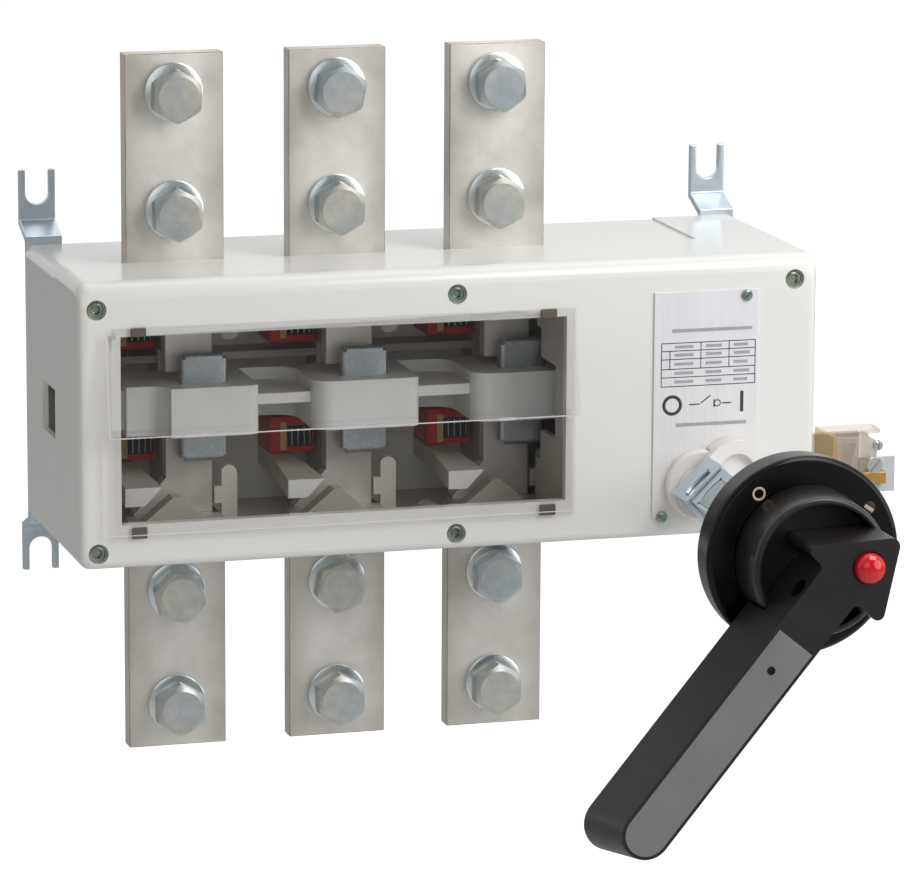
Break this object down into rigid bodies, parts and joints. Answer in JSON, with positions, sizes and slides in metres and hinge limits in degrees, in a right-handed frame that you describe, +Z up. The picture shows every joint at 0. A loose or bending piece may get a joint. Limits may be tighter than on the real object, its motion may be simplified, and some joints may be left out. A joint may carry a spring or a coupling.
{
  "type": "switch disconnector",
  "caption": "Flat box-shaped power switch with a clear contact window, flat bolted terminals above and below, slotted wall feet and a pistol handle on a long front shaft.",
  "frame": {"origin": "wall face of the lower left mounting foot, on its centre line just below the bend", "axes": "+X right, +Y into the wall, +Z up"},
  "size_m": [0.342, 0.287, 0.2869],
  "materials": {
    "housing": "fine satin",
    "clear": "clear polycarbonate",
    "plate": "printed",
    "white": "satin",
    "tinned": "tin-plated copper",
    "chute": "satin",
    "zinc": "zinc plated",
    "amber": "translucent amber",
    "grey_plate": "satin",
    "black": "semi-gloss",
    "grey": "satin",
    "red": "gloss"
  },
  "bodies": {
    "frame": {"base_housing": "housing", "front_cover": "housing", "side_partition": "housing", "lower_gable_1": "housing", "lower_gable_2": "housing", "lower_gable_3": "housing", "window_cover": "clear", "nameplate": "plate", "shaft_collar": "white", "upper_terminal_1": "tinned", "upper_terminal_2": "tinned", "upper_terminal_3": "tinned", "lower_terminal_1": "tinned", "lower_terminal_2": "tinned", "lower_terminal_3": "tinned", "upper_arc_chute_1": "chute", "upper_arc_chute_2": "chute", "upper_arc_chute_3": "chute", "lower_arc_chute_1": "chute", "lower_arc_chute_2": "chute", "lower_arc_chute_3": "chute", "guide_comb_1": "housing", "guide_comb_2": "housing", "guide_comb_3": "housing", "upper_left_foot": "zinc", "upper_right_foot": "zinc", "lower_left_foot": "zinc", "lower_right_foot": "zinc", "aux_bracket": "housing", "aux_contact_block": "amber", "aux_terminal_plate": "grey_plate", "bezel_disc": "black"},
    "carriage": {"contact_bar": "white", "contact_clamp_1": "zinc", "contact_clamp_2": "zinc", "contact_clamp_3": "zinc"},
    "handle": {"drive_cam": "white", "drive_shaft": "zinc", "inner_coupling": "zinc", "outer_coupling": "zinc", "handle_hub": "black", "handle_lever": "black", "lever_insert": "grey"},
    "button": {"release_button": "red"}
  },
  "joints": [
    {"name": "handle_turn", "type": "hinge", "parent": "frame", "child": "handle", "pos_m": [0.247, -0.217, 0.0275], "axis": [0, -1, 0], "range_deg": [0, 90]},
    {"name": "contact_slide", "type": "slide", "parent": "frame", "child": "carriage", "axis": [-1, 0, 0], "range_m": [0, 0.023]},
    {"name": "button_press", "type": "slide", "parent": "handle", "child": "button", "axis": [0, 1, 0], "range_m": [0, 0.003], "stiffness_N_per_m": 600, "springref_m": -0.002}
  ],
  "couplings": [
    {"joint": "contact_slide", "follows": "handle_turn", "m_per_rad": 0.01464}
  ]
}
